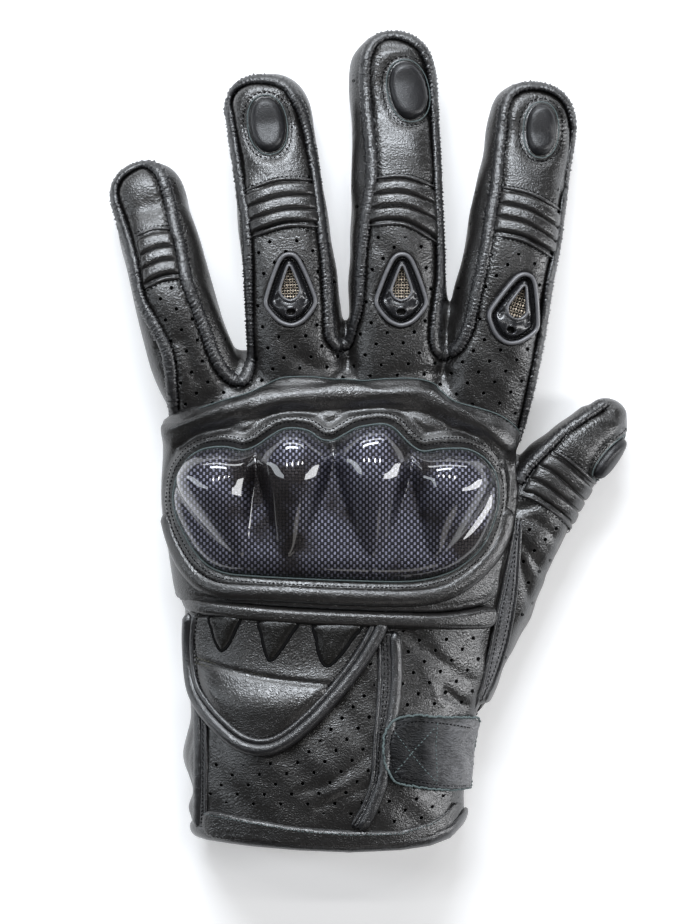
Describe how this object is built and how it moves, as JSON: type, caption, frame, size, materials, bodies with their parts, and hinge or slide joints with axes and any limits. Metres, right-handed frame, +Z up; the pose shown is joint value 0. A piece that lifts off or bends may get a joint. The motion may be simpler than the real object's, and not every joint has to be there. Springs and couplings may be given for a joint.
{
  "type": "short motorcycle glove",
  "caption": "Left-hand short riding glove in leather with a hard domed knuckle shield, finger vents, ribbed finger panels, a wrist flap and a wrist strap.",
  "frame": {"origin": "middle of the glove's outline on the surface that it lies on, palm down", "axes": "+X towards the thumb's side, +Y from the wrist to the fingertips, +Z up out of the back of the hand"},
  "size_m": [0.1583, 0.2452, 0.0485],
  "materials": {
    "leather": "satin",
    "smooth_leather": "satin",
    "binding": "satin",
    "strap_leather": "matte",
    "carbon_shell": "gloss",
    "vent_plastic": "satin",
    "vent_wire": "satin"
  },
  "bodies": {
    "root": {"hand_back": "leather", "palm": "leather", "cuff": "leather", "hem_binding": "binding", "little_finger": "leather", "ring_finger": "leather", "middle_finger": "leather", "index_finger": "leather", "thumb": "leather", "little_ribs": "leather", "ring_ribs": "leather", "middle_ribs": "leather", "index_ribs": "leather", "thumb_ribs": "leather", "ring_tip_pad": "smooth_leather", "middle_tip_pad": "smooth_leather", "index_tip_pad": "smooth_leather", "thumb_tip_pad": "smooth_leather", "ring_vent": "vent_plastic", "middle_vent": "vent_plastic", "index_vent": "vent_plastic", "ring_vent_wire": "vent_wire", "middle_vent_wire": "vent_wire", "index_vent_wire": "vent_wire", "knuckle_panel": "smooth_leather", "shield_roll": "smooth_leather", "knuckle_shield": "carbon_shell", "back_band": "binding", "wrist_flap": "leather", "flap_piping": "binding", "flap_dart_outer": "smooth_leather", "flap_dart_middle": "smooth_leather", "flap_dart_inner": "smooth_leather", "thumb_side_strip": "binding", "outer_side_strip": "binding", "wrist_strap": "strap_leather"}
  },
  "joints": []
}
